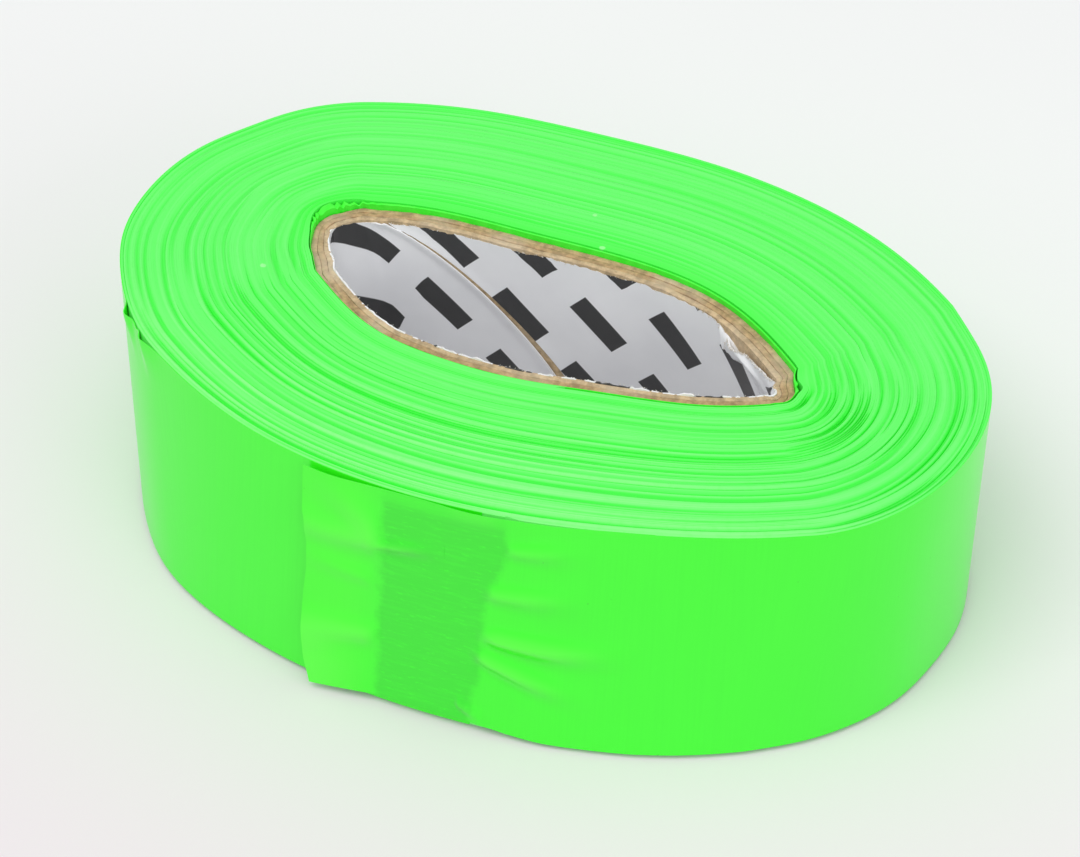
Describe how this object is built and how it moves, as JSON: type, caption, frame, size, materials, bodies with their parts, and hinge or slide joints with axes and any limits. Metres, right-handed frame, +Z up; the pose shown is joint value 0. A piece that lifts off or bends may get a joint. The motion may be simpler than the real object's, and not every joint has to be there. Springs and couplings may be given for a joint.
{
  "type": "roll of flagging tape",
  "caption": "Squeezed oval roll of bright green surveyor's flagging film on a spiral-wound paper core, with a glued lap and a free pull tab at its outer end.",
  "frame": {"origin": "middle of the roll's foot, on the surface it lies on", "axes": "+X along the long axis of the oval towards its sharper end, +Z up through the core; the glued lap and pull tab are on the -Y side"},
  "size_m": [0.1082, 0.0762, 0.0302],
  "materials": {
    "film": "satin fluorescent green plastic film",
    "kraft_paper": "matt kraft board",
    "liner_paper": "white coated paper",
    "adhesive": "thin tacky patch"
  },
  "bodies": {
    "roll": {"core_liner": "liner_paper", "core_inner_ply": "kraft_paper", "core_middle_ply": "kraft_paper", "core_outer_ply": "kraft_paper", "start_adhesive": "adhesive", "tape_winding": "film", "end_adhesive": "adhesive"},
    "lap": {"glued_lap": "film"},
    "tab": {"pull_tab": "film"}
  },
  "joints": [
    {"name": "lap_peel", "type": "hinge", "parent": "roll", "child": "lap", "pos_m": [0.00987, -0.03699, 0], "axis": [-0.0099, 0.1416, 0.9899], "range_deg": [0, 60]},
    {"name": "tab_lift", "type": "hinge", "parent": "lap", "child": "tab", "pos_m": [-0.00467, -0.03774, 0], "axis": [-0.0104, 0.1553, 0.9878], "range_deg": [0, 110]}
  ]
}
